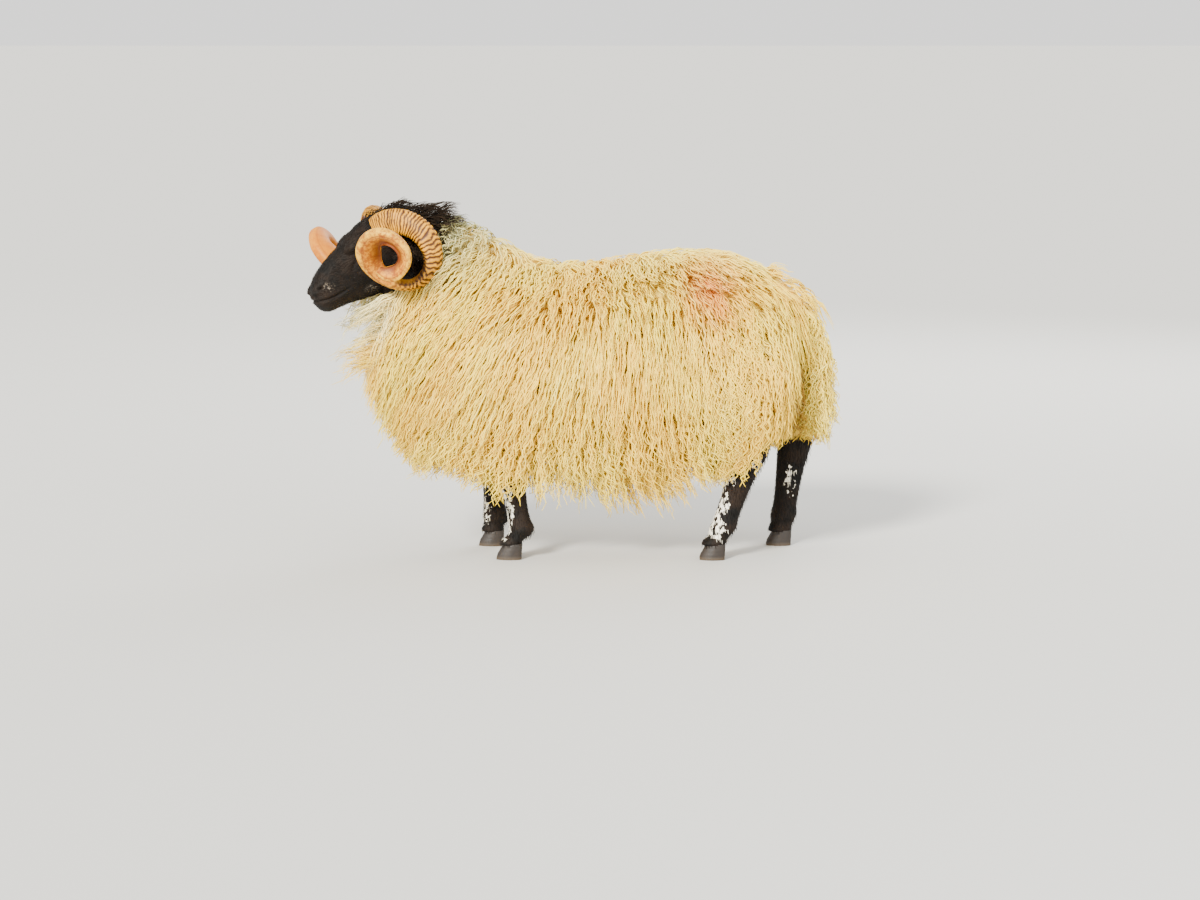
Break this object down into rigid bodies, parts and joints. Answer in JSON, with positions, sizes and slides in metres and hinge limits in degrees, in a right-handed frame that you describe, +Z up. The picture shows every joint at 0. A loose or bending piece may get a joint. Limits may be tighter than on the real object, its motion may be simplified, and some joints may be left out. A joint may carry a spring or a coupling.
{
  "type": "scottish blackface ram",
  "caption": "Life-size still model of a standing Scottish Blackface ram in full fleece, with coiled horns and its head turned a little to its left.",
  "frame": {"origin": "on the ground under the middle of the model's box: the soles of the hooves stand on Z = 0", "axes": "+Z up; the ram faces -Y, so +Y runs from the nose to the tail; +X is the ram's left side"},
  "size_m": [0.5328, 1.3518, 0.8911],
  "materials": {
    "fleece": "long wavy wool in hanging locks, cream",
    "black_hair": "short flat black hair with white flecks",
    "horn": "ridged amber horn, half gloss",
    "hoof": "dark worn horn",
    "eye": "wet amber eye with a level pupil"
  },
  "bodies": {
    "root": {"ear_left": "black_hair", "ear_right": "black_hair", "eye_left": "eye", "eye_right": "eye", "foreleg_left": "black_hair", "foreleg_right": "black_hair", "head": "black_hair", "hindleg_left": "black_hair", "hindleg_right": "black_hair", "hoof_foreleg_left_inner": "hoof", "hoof_foreleg_left_outer": "hoof", "hoof_foreleg_right_inner": "hoof", "hoof_foreleg_right_outer": "hoof", "hoof_hindleg_left_inner": "hoof", "hoof_hindleg_left_outer": "hoof", "hoof_hindleg_right_inner": "hoof", "hoof_hindleg_right_outer": "hoof", "horn_left": "horn", "horn_right": "horn", "neck": "fleece", "tail": "fleece", "torso": "fleece"}
  },
  "joints": []
}
